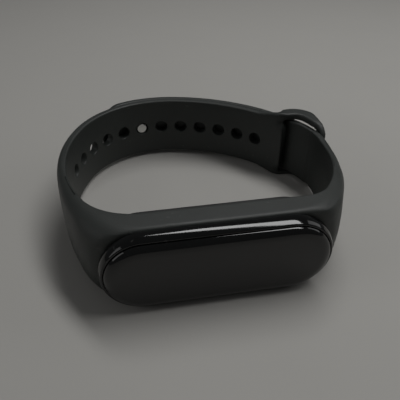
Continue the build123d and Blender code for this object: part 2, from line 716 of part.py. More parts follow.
with BuildPart() as motor_pad:
    with BuildSketch(facing(BOARD_FRONT)):
        with Locations((MOTOR_X, MOTOR_BOTTOM + MOTOR_LENGTH / 2)):
            Rectangle(PAD_WIDTH, MOTOR_LENGTH)
    extrude(amount=PAD_THICKNESS)
motor_pad.part.label = "motor_pad"
export_step(motor_pad.part, "parts/motor_pad.step")

with BuildPart() as motor_can:
    with BuildSketch(level(MID + MOTOR_BOTTOM)):
        with Locations(MOTOR_AXIS):
            Circle(MOTOR_RADIUS)
    extrude(amount=MOTOR_LENGTH)
    with BuildSketch(level(MID + MOTOR_TOP)):
        with Locations(MOTOR_AXIS):
            Circle(SHAFT_RADIUS + SHAFT_CLEARANCE)
    extrude(amount=-MOTOR_BORE_DEPTH, mode=Mode.SUBTRACT)
motor_can.part.label = "motor_can"
export_step(motor_can.part, "parts/motor_can.step")

with BuildPart() as motor_shaft:
    with BuildSketch(level(MID + MOTOR_TOP - MOTOR_BORE_DEPTH + SHAFT_CLEARANCE)):
        with Locations(MOTOR_AXIS):
            Circle(SHAFT_RADIUS)
    extrude(amount=MOTOR_BORE_DEPTH - SHAFT_CLEARANCE + WEIGHT_GAP + WEIGHT_LENGTH)
motor_shaft.part.label = "motor_shaft"
export_step(motor_shaft.part, "parts/motor_shaft.step")

with BuildPart() as motor_weight:
    with BuildSketch(level(MID + MOTOR_TOP + WEIGHT_GAP)):
        with Locations(MOTOR_AXIS):
            Circle(WEIGHT_RADIUS)
            Rectangle(
                2 * WEIGHT_RADIUS, WEIGHT_RADIUS, align=(Align.CENTER, Align.MIN),
                mode=Mode.SUBTRACT,
            )
            Circle(2 * SHAFT_RADIUS)
            Circle(SHAFT_RADIUS, mode=Mode.SUBTRACT)
    extrude(amount=WEIGHT_LENGTH)
motor_weight.part.label = "motor_weight"
export_step(motor_weight.part, "parts/motor_weight.step")

# Places that the joints and mounts use, in the part's own frame
hinge_point, _ = hole_arm_place(HINGE_TURN, LAY_OUTSIDE)
print("tip flexing line", round(hinge_point[0] - CENTRE_X, 3), round(hinge_point[1] - CENTRE_Y, 3))
print("motor axis", round(MOTOR_AXIS[0] - CENTRE_X, 3), round(MOTOR_AXIS[1] - CENTRE_Y, 3))
print("cradle edge", round(-CENTRE_X, 3), round(-CRADLE_DEPTH / 2 - CENTRE_Y, 3))
print("origin offset", round(CENTRE_X, 3), round(CENTRE_Y, 3))
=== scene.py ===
import json
from math import cos, pi, radians, sin, tau
from types import SimpleNamespace

import bmesh
import bpy
import numpy as np
from bpy.props import FloatProperty, FloatVectorProperty, PointerProperty
from bpy.types import Operator, Panel, PropertyGroup
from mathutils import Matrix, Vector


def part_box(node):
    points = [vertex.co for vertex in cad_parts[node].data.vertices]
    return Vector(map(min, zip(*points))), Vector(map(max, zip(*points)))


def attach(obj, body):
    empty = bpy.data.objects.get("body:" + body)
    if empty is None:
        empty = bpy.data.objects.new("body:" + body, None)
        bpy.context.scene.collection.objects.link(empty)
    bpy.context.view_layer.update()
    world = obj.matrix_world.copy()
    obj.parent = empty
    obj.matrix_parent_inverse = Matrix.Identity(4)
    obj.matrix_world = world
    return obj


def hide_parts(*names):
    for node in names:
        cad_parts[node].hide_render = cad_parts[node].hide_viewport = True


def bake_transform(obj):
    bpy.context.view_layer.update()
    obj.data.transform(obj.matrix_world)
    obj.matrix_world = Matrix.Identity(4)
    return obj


bl_info = {
    "name": "Fitness Tracker Band",
    "version": (1, 0, 0),
    "blender": (4, 5, 0),
    "location": "3D View > Sidebar > Band",
    "description": "Silicone strap with its keeper ring, metal stud and glossy tracker capsule",
    "category": "Object",
}

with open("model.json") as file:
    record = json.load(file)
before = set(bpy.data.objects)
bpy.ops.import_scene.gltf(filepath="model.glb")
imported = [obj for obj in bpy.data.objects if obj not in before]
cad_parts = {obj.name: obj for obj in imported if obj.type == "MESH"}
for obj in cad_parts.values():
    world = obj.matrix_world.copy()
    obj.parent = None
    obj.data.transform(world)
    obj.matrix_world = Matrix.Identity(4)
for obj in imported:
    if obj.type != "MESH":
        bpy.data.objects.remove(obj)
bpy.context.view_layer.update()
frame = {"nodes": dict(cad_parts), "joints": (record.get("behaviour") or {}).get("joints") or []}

# Plan shapes below are drawn in millimetres in the capsule's own axes: X from the capsule's middle,
# Y from the wrist side of the cradle, Z from mid height. `placed` carries them into the scene.
MM = 0.001
FACE_Y = -9.3
glass_low, glass_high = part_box("cover_glass")
MIDDLE_X = (glass_low.x + glass_high.x) / 2
WRIST_Y = glass_low.y - FACE_Y * MM
MIDDLE_Z = (glass_low.z + glass_high.z) / 2

# Wrist side of the strap: where each arm leaves the flat cradle, then (radius, turn in degrees)
HOLE_ARM_START = 13.8
HOLE_ARM_BENDS = [(13.1, 62.2), (36.4, 52.9), (22.1, 74.4), (41.8, 47.5)]
STUD_ARM_START = 19.5
STUD_ARM_BENDS = [(7.1, 50.8), (28.8, 31.3), (55.4, 8.0)]
STEP = 0.05

CRADLE_DEPTH = 5.2
CRADLE_HALF = 9.2
HOLE_ARM_HALF = 8.05
STUD_ARM_HALF = 7.7
TAPER_END = 22.0
HOLE_COUNT = 12
HOLE_PITCH = 5.7
FIRST_HOLE = 39.9
STUD_HOLE = 6
TIP_PAST_STUD = 11.0
LAYER_GAP = 0.5
LAY_START = 10.0
SEAM_Y = 28.0
OPENING_LENGTH = 44.7
OPENING_HEIGHT = 15.7

# Keeper ring: the bars leave the hole arm and swing round the stud arm, (radius, turn in degrees)
SWING_START = 122.0
SWING_BENDS = [(3.0, 72.0), (3.4, -82.0), (16.6, -26.0)]
SLOT_HALF = 8.05
END_BAR = 3.2
RING_CORNER = 4.0
RING_TOP = 9.8
RING_BOTTOM = 9.2

CAPSULE_LENGTH = 46.9
CAPSULE_HEIGHT = 17.9


# ---------------------------------------------------------------- numbers into meshes


def placed(x, y, z):
    """Millimetres in the capsule's axes to metres in the scene."""
    return np.stack([MIDDLE_X + x * MM, WRIST_Y + y * MM, MIDDLE_Z + z * MM], axis=-1)


def mesh_object(name, points, faces, material):
    """An object from points (n, 3) and a list of face arrays, its points that no face uses dropped,
    every face smooth and turned outward."""
    used = np.unique(np.concatenate([face.ravel() for face in faces]))
    lookup = np.zeros(len(points), int)
    lookup[used] = np.arange(len(used))
    mesh = bpy.data.meshes.new(name)
    mesh.from_pydata(points[used].tolist(), [], [f for face in faces for f in lookup[face].tolist()])
    shape = bmesh.new()
    shape.from_mesh(mesh)
    bmesh.ops.recalc_face_normals(shape, faces=shape.faces)
    shape.to_mesh(mesh)
    shape.free()
    mesh.polygons.foreach_set("use_smooth", np.ones(len(mesh.polygons), bool))
    mesh.materials.append(material)
    mesh.validate()
    piece = bpy.data.objects.new(name, mesh)
    bpy.context.scene.collection.objects.link(piece)
    return piece


def ribbon_faces(loops, closed=True):
    """Quads between neighbouring rows of `loops` (rows, n), each row closed on itself if asked."""
    if closed:
        loops = np.concatenate([loops, loops[:, :1]], axis=1)
    return np.stack([loops[:-1, :-1], loops[1:, :-1], loops[1:, 1:], loops[:-1, 1:]], -1).reshape(-1, 4)


def smooth_step(value, low, high):
    """0 before low, 1 after high, and 3 t squared - 2 t cubed between."""
    t = np.clip((value - low) / (high - low), 0, 1)
    return t * t * (3 - 2 * t)


def rounding(distance, radius):
    """How far a surface drops, `distance` in from an edge that has a quarter round of `radius`."""
    inner = radius - np.clip(distance, 0, radius)
    return radius - np.sqrt(np.maximum(radius**2 - inner**2, 0))


# ---------------------------------------------------------------- the strap's plan


def track(x, y, heading, bends, straight=0.0):
    """A plan line of tangent arcs: heading in degrees, a turn above zero goes left. The heading is
    linear in the length, and its cosine and sine are summed for the place. Returns rows of
    (length, x, y, heading in radians)."""
    lengths, headings = [0.0, straight], [heading, heading]
    for radius, turn in bends:
        lengths.append(lengths[-1] + radius * radians(abs(turn)))
        headings.append(headings[-1] + turn)
    s = np.linspace(0, lengths[-1], int(lengths[-1] / STEP) + 2)
    h = np.radians(np.interp(s, lengths, headings))
    middle = (h[1:] + h[:-1]) / 2
    px = x + np.concatenate([[0], np.cumsum(np.cos(middle) * np.diff(s))])
    py = y + np.concatenate([[0], np.cumsum(np.sin(middle) * np.diff(s))])
    return np.stack([s, px, py, h])


def on_track(line, s):
    """Place and left-hand normal at the lengths s of a track."""
    x, y, h = (np.interp(s, line[0], row) for row in line[1:])
    return x, y, -np.sin(h), np.cos(h)


def moved_out(line, offset):
    """The track that runs `offset` to the left of another, with its own lengths."""
    x, y, nx, ny = on_track(line, line[0])
    x, y = x + nx * offset, y + ny * offset
    s = np.concatenate([[0], np.cumsum(np.hypot(np.diff(x), np.diff(y)))])
    return np.stack([s, x, y, line[3]])


def backwards(line):
    """A track run the other way, its left hand still on the same side of the strap: the heading
    turns right round and the offsets are then taken with the opposite sign."""
    return np.stack([line[0][-1] - line[0][::-1], line[1][::-1], line[2][::-1], line[3][::-1] + pi])


def hole_arm_line():
    """Wrist surface from the middle of the cradle round to the hole arm's end, clockwise seen
    from above, so that its left hand is the outer side."""
    return track(0, 0, 180, [(r, -t) for r, t in HOLE_ARM_BENDS], straight=HOLE_ARM_START)


def stud_arm_line(thickness, lay_middle):
    """Middle line of the stud arm: the right arm's arcs, a cubic between two headings that takes
    it through the ring, then the hole arm's own line, `lay_middle` outside the wrist, to its tip.
    Each run has its right hand on the outer side. Returns the track and the length at the lay."""
    arcs = track(0, 0, 0, STUD_ARM_BENDS, straight=STUD_ARM_START)
    arcs = moved_out(arcs, -thickness / 2)
    hole = hole_arm_line()
    over = moved_out(hole, lay_middle)
    start = np.interp(hole_length(LAY_START_TURN), hole[0], np.arange(len(hole[0])))
    end = np.interp(HOLE_ARM_START + STUD_LENGTH - TIP_PAST_STUD, hole[0], np.arange(len(hole[0])))
    lay = backwards(over[:, int(end) : int(start) + 1])
    first, last = arcs[1:3, -1], lay[1:3, 0]
    reach = np.hypot(*(last - first))
    m0 = reach * np.array([cos(arcs[3, -1]), sin(arcs[3, -1])])
    m1 = reach * np.array([cos(lay[3, 0]), sin(lay[3, 0])])
    t = np.linspace(0, 1, 400)[:, None]
    place = (
        (2 * t**3 - 3 * t**2 + 1) * first + (t**3 - 2 * t**2 + t) * m0
        + (3 * t**2 - 2 * t**3) * last + (t**3 - t**2) * m1
    )
    slope = (
        (6 * t**2 - 6 * t) * first + (3 * t**2 - 4 * t + 1) * m0
        + (6 * t - 6 * t**2) * last + (3 * t**2 - 2 * t) * m1
    )
    heading = np.unwrap(np.arctan2(slope[:, 1], slope[:, 0]))
    length = np.concatenate([[0], np.cumsum(np.hypot(*np.diff(place, axis=0).T))])
    bridge = np.stack([length, place[:, 0], place[:, 1], heading])
    lay[3] += tau * np.round((heading[-1] - lay[3, 0]) / tau)
    line = arcs
    for run in (bridge, lay):
        run = run[:, 1:].copy()
        run[0] += line[0, -1]
        line = np.concatenate([line, run], axis=1)
    return line, arcs[0, -1] + bridge[0, -1]


def hole_length(turned):
    """Length along the hole arm's wrist surface, from the cradle's middle, at a turned angle."""
    length = HOLE_ARM_START
    for radius, turn in HOLE_ARM_BENDS:
        step = min(turn, turned)
        length += radians(step) * radius
        turned -= step
    return length


STUD_LENGTH = FIRST_HOLE + (STUD_HOLE - 1) * HOLE_PITCH
LAY_START_TURN = sum(turn for radius, turn in HOLE_ARM_BENDS) - LAY_START


def blurred_table(s, knots, width=0.9):
    """A table of (length, value) knots joined by lines, then averaged over a bell of `width` mm, so
    that the surface it drives has no kinks. Returns the values at s."""
    at, values = np.array(knots, float).T
    fine = np.arange(at[0] - 4 * width, at[-1] + 4 * width, 0.1)
    bell = np.exp(-0.5 * (np.arange(-4 * width, 4 * width + 0.05, 0.1) / width) ** 2)
    padded = np.pad(np.interp(fine, at, values), len(bell) // 2, mode="edge")
    return np.interp(s, fine, np.convolve(padded, bell / bell.sum(), "valid")[: len(fine)])


def lesser(a, b, blend=0.35):
    """The smaller of two values, with the crossing rounded over `blend`."""
    return (a + b - np.sqrt((a - b) ** 2 + blend**2)) / 2


def shoulder(s, level, start, bends, edge_knots, middle_knots, arm_thickness):
    """Thickness of one shoulder at length s from the cradle's middle and `level`, the height as a
    share of the half height: the flat seat that carries the capsule, then a fall to the arm's own
    thickness. The fall is later at mid height than at the edges, in the proportion of a circle's
    chord, which makes the seat's end round. Knots are (turned degrees, thickness) on the bends."""
    lengths, turns = [start], [0.0]
    for radius, turn in bends:
        lengths.append(lengths[-1] + radians(turn) * radius)
        turns.append(turns[-1] + turn)
    turned = np.interp(s, lengths, turns)
    first = bends[0][0]
    seat = (first + CRADLE_DEPTH) / np.cos(np.radians(np.minimum(turned, 60))) - first
    edge = blurred_table(s, [(np.interp(t, turns, lengths), d) for t, d in edge_knots])
    middle = blurred_table(s, [(np.interp(t, turns, lengths), d) for t, d in middle_knots])
    chord = np.sqrt(np.clip(1 - level**2, 0, 1))
    return np.maximum(lesser(seat, edge + (middle - edge) * chord) + 0.02, arm_thickness)


LEFT_EDGE = [(0, 5.15), (8, 4.8), (17, 4.2), (25, 3.6), (37, 2.9), (56, 2.2), (75, 1.9), (90, 1.9)]
LEFT_MIDDLE = [(18, 9.0), (28.9, 7.8), (40.6, 6.1), (57.7, 3.95), (75, 2.6), (95, 1.95), (110, 1.9)]
RIGHT_EDGE = [(0, 5.1), (8, 4.6), (14, 4.2), (25, 3.5), (34, 3.0), (51, 2.6), (62, 2.3), (74, 1.9), (84, 1.8)]
RIGHT_MIDDLE = [(10, 7.2), (19.7, 6.1), (34, 5.0), (50.8, 3.9), (62, 3.0), (74, 2.1), (84, 1.8)]


# ---------------------------------------------------------------- the strap's surfaces


class BandShape:
    """Wrist and outer surface of the one-piece strap body, as functions of the length u along it
    (0 in the middle of the cradle, above zero on the hole arm, below on the stud arm) and the
    height v."""

    def __init__(self, strap):
        self.strap = strap
        hole = hole_arm_line()
        stud, _ = stud_arm_line(strap.stud_arm_thickness, self.lay_middle())
        stud = moved_out(stud, strap.stud_arm_thickness / 2)
        self.seam = float(np.interp(SEAM_Y, stud[2][: len(stud[2]) // 2], stud[0][: len(stud[2]) // 2]))
        right = stud[:, stud[0] <= self.seam]
        right = np.stack([-right[0][::-1], right[1][::-1], right[2][::-1], right[3][::-1] + pi])
        hole[3] += tau * np.round((right[3, -1] - hole[3, 0]) / tau)
        self.line = np.concatenate([right[:, :-1], hole], axis=1)
        x, y, nx, ny = on_track(self.line, SWING_START)
        heading = np.interp(SWING_START, self.line[0], self.line[3])
        self.swing = track(x, y, np.degrees(heading), SWING_BENDS)
        self.swing[0] += SWING_START
        self.end = self.swing[0, -1]
        self.slot_start = hole[0, -1]
        self.slot_end = self.end - END_BAR

    def lay_middle(self):
        strap = self.strap
        return strap.hole_arm_thickness + LAYER_GAP + strap.stud_arm_thickness / 2

    def base(self, u, v):
        """Wrist surface and outward normal. Past SWING_START the middle of the strip runs on
        straight to the slot, and the strip's edges swing out as the ring's bars."""
        x, y, nx, ny = on_track(self.line, np.minimum(u, self.slot_start))
        sx, sy, snx, sny = on_track(self.swing, np.clip(u, SWING_START, self.end))
        mix = smooth_step(np.abs(v), 5.5, 8.0) * (u > SWING_START)
        mix = np.where(u > (self.slot_start + self.slot_end) / 2, 1.0, mix)
        nx, ny = nx + (snx - nx) * mix, ny + (sny - ny) * mix
        size = np.hypot(nx, ny)
        return x + (sx - x) * mix, y + (sy - y) * mix, nx / size, ny / size

    def half(self, u, up):
        """Half height of the strip above (up) or below its middle: the cradle's, narrowing with the
        distance behind it, wider again at the ring, and cut to round corners at the ring's end."""
        y = np.interp(u, self.line[0], self.line[2])
        arm = np.where(u > 0, HOLE_ARM_HALF, STUD_ARM_HALF)
        half = CRADLE_HALF + (arm - CRADLE_HALF) * smooth_step(y, -4, TAPER_END + 2)
        ring = np.where(up, RING_TOP, RING_BOTTOM)
        half = half + (ring - half) * smooth_step(u, SWING_START - 6, SWING_START + 3)
        room = np.clip(self.end - u, 0, RING_CORNER)
        return half - RING_CORNER + np.sqrt(RING_CORNER**2 - (RING_CORNER - room) ** 2)

    def thickness(self, u, v):
        """Plate thickness: the shoulders and seat, the arms, and the ring's bars and end."""
        strap = self.strap
        level = np.clip(np.abs(v) / self.half(u, v > 0), 0, 1)
        left = shoulder(
            u, level, HOLE_ARM_START, HOLE_ARM_BENDS, LEFT_EDGE, LEFT_MIDDLE, strap.hole_arm_thickness
        )
        right = shoulder(
            -u, level, STUD_ARM_START, STUD_ARM_BENDS, RIGHT_EDGE, RIGHT_MIDDLE,
            strap.stud_arm_thickness,
        )
        plate = np.where(u > 0, left, right)
        edge = smooth_step(np.abs(v), 5.5, 8.0)
        bar = strap.hole_arm_thickness + 0.8 * edge * smooth_step(u, SWING_START, SWING_START + 4)
        bar = bar + (strap.ring_end_thickness - bar) * smooth_step(u, self.end - 8, self.end - 3)
        plate = np.where(u > SWING_START, bar, plate)
        arm = smooth_step(np.abs(u), 34, 44)
        return plate + strap.crown * arm * (1 - (v / CRADLE_HALF) ** 2)

    def bar_growth(self, u, v):
        """How far the ring's bars reach in over the edges of the stud arm between them."""
        along = smooth_step(u, SWING_START + 1, SWING_START + 5)
        along = along * (1 - smooth_step(u, self.slot_end - 1.0, self.end - 0.8))
        return self.strap.ring_bar_reach * along * smooth_step(np.abs(v), SLOT_HALF - 0.6, SLOT_HALF)

    def drop(self, u, v, edge, extra, outer):
        """Rounding of the strip's edges, `edge` being the distance to its outline and `extra` the
        distance to the rim of a hole, with the ring's bars round on both sides."""
        strap = self.strap
        ring = smooth_step(u, SWING_START - 2, SWING_START + 2)
        radius = strap.outer_round if outer else strap.inner_round
        if outer:
            radius = radius + strap.shoulder_round * smooth_step(np.abs(u), 14, 24) * (
                1 - smooth_step(np.abs(u), 34, 52)
            )
        radius = radius + (0.55 - radius) * ring
        past = np.maximum(
            np.maximum(self.slot_start - u, u - self.slot_end), np.abs(v) - SLOT_HALF
        )
        slot = np.where(u > SWING_START, rounding(past, 0.5), 0)
        return np.maximum(np.maximum(rounding(edge, radius), slot), rounding(extra, strap.hole_round))

    def points(self, u, v, edge, extra, outer):
        """Places on the outer or the wrist surface, edges rounded."""
        x, y, nx, ny = self.base(u, v)
        drop = self.drop(u, v, edge, extra, outer)
        lift = self.thickness(u, v) - drop if outer else drop - self.bar_growth(u, v)
        return placed(x + nx * lift, y + ny * lift, v)


def loop_of(index, i0, i1, j0, j1):
    """Indices round the rim of a block of a grid, once round."""
    return np.concatenate(
        [index[i0:i1, j0], index[i1, j0:j1], index[i1:i0:-1, j1], index[i0, j1:j0:-1]]
    )


def strap_body(strap, material):
    """The strap body. One grid in (length, height) serves the outer and the wrist surface. Blocks
    of cells are taken out for the holes, the capsule's opening and the ring's slot. Round a hole
    or the opening, rings of points run from the block's rim to the hole's rim along straight lines.
    Bands of quads through the thickness close the outline and every rim."""
    shape = BandShape(strap)
    half_cell = HOLE_PITCH / 2
    first = HOLE_ARM_START + FIRST_HOLE - half_cell
    last = first + HOLE_COUNT * HOLE_PITCH
    opening = (-24.6, 25.4)
    near_end = [3.0, 2.2, 1.5, 1.0, 0.7, 0.45, 0.25, 0.1, 0.03, 0.0]
    cuts = [-shape.seam, opening[0], opening[1], first, last, shape.slot_start, shape.slot_end]
    u = [np.linspace(a, b, max(2, int((b - a) / 0.475)) + 1)[:-1] for a, b in zip(cuts[:3], cuts[1:4])]
    u.append(np.linspace(first, last, 12 * HOLE_COUNT + 1)[:-1])
    gap = shape.slot_start - last
    u.append(np.linspace(last, shape.slot_start - 0.6, int(gap / 0.475))[:-1])
    u.append(shape.slot_start - np.array([0.6, 0.45, 0.25, 0.1, 0.03]))
    u.append(np.linspace(shape.slot_start, shape.slot_end, 40)[:-1])
    u.append(shape.slot_end + np.array([0.0, 0.03, 0.1, 0.2]))
    u.append(shape.end - np.array(near_end))
    u = np.unique(np.round(np.concatenate(u), 6))
    rim = (1 - np.cos(np.linspace(0, pi, 8))) / 2
    band = np.linspace(0, 1, 10)
    middle = np.linspace(-half_cell, half_cell, 13)

    top, low = shape.half(u, True)[:, None], shape.half(u, False)[:, None]
    inside = np.where(u > SWING_START - 6, 1.0, 0.0)[:, None] * smooth_step(
        u, SWING_START - 6, SWING_START + 1
    )[:, None]
    rows = []
    for half, side in ((low, -1), (top, 1)):
        bound = np.minimum(half - 0.7, 8.5)
        bound = bound + (np.minimum(SLOT_HALF, half - 0.5) - bound) * inside
        part = np.concatenate(
            [half_cell + (bound - half_cell) * band[1:], bound + (half - bound) * rim[1:]], axis=1
        )
        rows.append(part * side)
    v = np.concatenate([rows[0][:, ::-1], np.repeat(middle[None], len(u), 0), rows[1]], axis=1)
    uu = np.repeat(u[:, None], v.shape[1], 1)
    edge = np.minimum(top - v, v + low)
    edge = np.minimum(edge, shape.end - uu)

    index = np.arange(v.size).reshape(v.shape)
    solid = np.ones((v.shape[0] - 1, v.shape[1] - 1), bool)
    side_rows = len(band) - 1 + len(rim) - 1
    c0, c1 = side_rows, side_rows + 12
    b0, b1 = len(rim) - 1, v.shape[1] - len(rim)
    column = lambda value: int(np.argmin(np.abs(u - value)))

    flat = [a.ravel() for a in (uu, v, edge)]
    extra = np.full(v.size, 9.0)
    outer = [shape.points(*flat, extra, True)]
    inner = [shape.points(*flat, extra, False)]
    quads, rims, count = [], [], v.size

    def add_rings(block, target_outer, target_inner):
        """Rings from a block's rim to a hole's rim; the target gives the hole's points in (u, v)."""
        nonlocal count
        loop = loop_of(index, *block)
        solid[block[0] : block[1], block[2] : block[3]] = False
        start = np.stack([uu.ravel()[loop], v.ravel()[loop]], -1)
        ids = [loop]
        base_edge = edge.ravel()[loop]
        for target, store, is_outer in ((target_outer, outer, True), (target_inner, inner, False)):
            away = start - target
            reach = np.hypot(*away.T)
            steps = [reach * 0.72, reach * 0.45, reach * 0.25 + 0.12]
            steps += [np.full(len(loop), d) for d in (0.3, 0.19, 0.1, 0.03, 0.0)]
            steps = [np.minimum(d, reach * 0.95) for d in steps]
            for d in steps:
                place = target + away * (d / reach)[:, None]
                room = base_edge + (reach - d)
                store.append(shape.points(place[:, 0], place[:, 1], room, d, is_outer))
        for _ in steps:
            ids.append(np.arange(count, count + len(loop)))
            count += len(loop)
        ids = np.stack(ids)
        quads.append(ribbon_faces(ids))
        rims.append(ids[-1])

    for number in range(HOLE_COUNT):
        centre = HOLE_ARM_START + FIRST_HOLE + number * HOLE_PITCH
        block = (column(centre - half_cell), column(centre + half_cell), c0, c1)
        loop = loop_of(index, *block)
        away = np.stack([uu.ravel()[loop] - centre, v.ravel()[loop]], -1)
        way = away / np.hypot(*away.T)[:, None]
        narrow, wide = (strap.hole_radius - draft for draft in (strap.hole_draft, 0))
        add_rings(block, way * narrow + [centre, 0], way * wide + [centre, 0])

    block = (column(opening[0]), column(opening[1]), b0, b1)
    loop = loop_of(index, *block)
    radius = OPENING_HEIGHT / 2
    run = OPENING_LENGTH / 2 - radius
    targets = []
    for is_outer in (True, False):
        bx, by, nx, ny = shape.base(uu.ravel()[loop], v.ravel()[loop])
        depth = shape.thickness(uu.ravel()[loop], v.ravel()[loop]) if is_outer else 0.0
        x, z = bx + nx * depth, v.ravel()[loop]
        cx = np.clip(x, -run, run)
        away = np.stack([x - cx, z], -1)
        rim_point = away / np.hypot(*away.T)[:, None] * radius
        x, z = rim_point[:, 0] + cx, rim_point[:, 1]
        grow = CRADLE_DEPTH if is_outer else 0.0
        bend_l, bend_r = HOLE_ARM_BENDS[0][0], STUD_ARM_BENDS[0][0]
        over_l, over_r = np.maximum(-x - HOLE_ARM_START, 0), np.maximum(x - STUD_ARM_START, 0)
        if is_outer:
            turn_l, turn_r = np.arctan(over_l / (bend_l + grow)), np.arctan(over_r / (bend_r + grow))
        else:
            turn_l, turn_r = np.arcsin(over_l / bend_l), np.arcsin(over_r / bend_r)
        along = -np.clip(x, -HOLE_ARM_START, STUD_ARM_START) + bend_l * turn_l - bend_r * turn_r
        targets.append(np.stack([along, z], -1))
    add_rings(block, *targets)

    block = (column(shape.slot_start), column(shape.slot_end), b0, b1)
    solid[block[0] : block[1], block[2] : block[3]] = False
    rims.append(loop_of(index, *block))
    rims.append(loop_of(index, 0, v.shape[0] - 1, 0, v.shape[1] - 1))
    cells = np.stack([index[:-1, :-1], index[1:, :-1], index[1:, 1:], index[:-1, 1:]], -1)[solid]
    quads.append(cells.reshape(-1, 4))

    outer, inner = np.concatenate(outer), np.concatenate(inner)
    points = [outer, inner]
    faces = quads + [face + count for face in quads]
    total = 2 * count
    for rim_ids in rims:
        walls = [rim_ids]
        for share in (0.08, 0.36, 0.64, 0.92):
            points.append(outer[rim_ids] * (1 - share) + inner[rim_ids] * share)
            walls.append(np.arange(total, total + len(rim_ids)))
            total += len(rim_ids)
        walls.append(rim_ids + count)
        faces.append(ribbon_faces(np.stack(walls)))
    return mesh_object("strap_body", np.concatenate(points), faces, material), shape


def stud_strap(strap, shape, material):
    """The free end of the stud arm from the seam under the ring to the tip: a rounded section
    carried along the middle line. The section's points run once round a rectangle with quarter
    rounds, scaled to the local half height and thickness, and both ends close to a line."""
    line, lay = stud_arm_line(strap.stud_arm_thickness, shape.lay_middle())
    seam = np.interp(SEAM_Y, line[2][: len(line[2]) // 2], line[0][: len(line[2]) // 2])
    end = line[0, -1]
    tail = 7.6 * (1 - np.cos(np.linspace(pi / 2, 0, 26)))
    s = np.concatenate([np.linspace(seam, end - 7.9, int((end - 7.9 - seam) / 0.5)), end - tail])
    room = np.clip(end - s, 0, strap.tip_corner)
    half = STUD_ARM_HALF - strap.tip_corner + np.sqrt(
        strap.tip_corner**2 - (strap.tip_corner - room) ** 2
    )
    half = np.maximum(half, 0.8)
    thick = strap.stud_arm_thickness - 0.8 * (1 - smooth_step(end - s, 0, 7))
    x, y, nx, ny = (a[:, None] for a in on_track(line, s))
    across = np.concatenate([[-1, -0.995, -0.98, -0.955, -0.92], np.linspace(-0.88, 0.88, 23)])
    across = np.concatenate([across, [0.92, 0.955, 0.98, 0.995, 1]])
    v = half[:, None] * across[None]
    edge = np.minimum(half[:, None] - np.abs(v), (end - s)[:, None])
    crown = strap.crown * (1 - (v / CRADLE_HALF) ** 2) * smooth_step(end - s, 0, 9)[:, None]
    outer_lift = thick[:, None] - strap.stud_arm_thickness / 2 + crown
    outer_lift = outer_lift - np.minimum(rounding(edge, strap.outer_round), thick[:, None] * 0.55)
    inner_lift = -strap.stud_arm_thickness / 2 + np.minimum(
        rounding(edge, strap.inner_round), thick[:, None] * 0.35
    )
    outer = placed(x - nx * outer_lift, y - ny * outer_lift, v).reshape(-1, 3)
    inner = placed(x - nx * inner_lift, y - ny * inner_lift, v).reshape(-1, 3)
    index = np.arange(v.size).reshape(v.shape)
    cells = np.stack([index[:-1, :-1], index[1:, :-1], index[1:, 1:], index[:-1, 1:]], -1)
    cells = cells.reshape(-1, 4)
    rim_ids = loop_of(index, 0, v.shape[0] - 1, 0, v.shape[1] - 1)
    points, walls, total = [outer, inner], [rim_ids], 2 * v.size
    for part in (0.1, 0.5, 0.9):
        points.append(outer[rim_ids] * (1 - part) + inner[rim_ids] * part)
        walls.append(np.arange(total, total + len(rim_ids)))
        total += len(rim_ids)
    walls.append(rim_ids + v.size)
    faces = [cells, cells + v.size, ribbon_faces(np.stack(walls))]
    return mesh_object("stud_strap", np.concatenate(points), faces, material), line


def turned_piece(name, profile, centre, axis, material, count=64):
    """A profile of (radius, distance along the axis) carried once round an axis in the level plane,
    its two ends closed to points on the axis."""
    profile = np.array(profile, float)
    angle = np.linspace(0, tau, count, endpoint=False)
    side = np.array([-axis[1], axis[0]])
    radius, along = profile[:, :1], profile[:, 1:]
    x = centre[0] + along * axis[0] + radius * np.cos(angle) * side[0]
    y = centre[1] + along * axis[1] + radius * np.cos(angle) * side[1]
    z = radius * np.sin(angle)
    points = placed(x, y, z + 0 * x).reshape(-1, 3)
    index = np.arange(len(profile) * count).reshape(len(profile), count)
    ends = placed(
        centre[0] + along[[0, -1], 0] * axis[0], centre[1] + along[[0, -1], 0] * axis[1], np.zeros(2)
    )
    faces = [ribbon_faces(index)]
    for row, pole in ((index[0], len(points)), (index[-1], len(points) + 1)):
        faces.append(np.stack([row, np.roll(row, -1), np.full(count, pole)], -1))
    return mesh_object(name, np.concatenate([points, ends]), faces, material)


def rounded_profile(points, radii, steps=6):
    """A profile line whose corners are replaced by quadratic curves that start and end `radius`
    from each corner."""
    points = np.array(points, float)
    out = [points[:1]]
    t = np.linspace(0, 1, steps + 1)[:, None]
    for before, corner, after, radius in zip(points[:-2], points[1:-1], points[2:], radii):
        a = corner + (before - corner) * min(radius / np.hypot(*(before - corner)), 0.5)
        b = corner + (after - corner) * min(radius / np.hypot(*(after - corner)), 0.5)
        out.append((1 - t) ** 2 * a + 2 * t * (1 - t) * corner + t**2 * b)
    out.append(points[-1:])
    return np.concatenate(out)


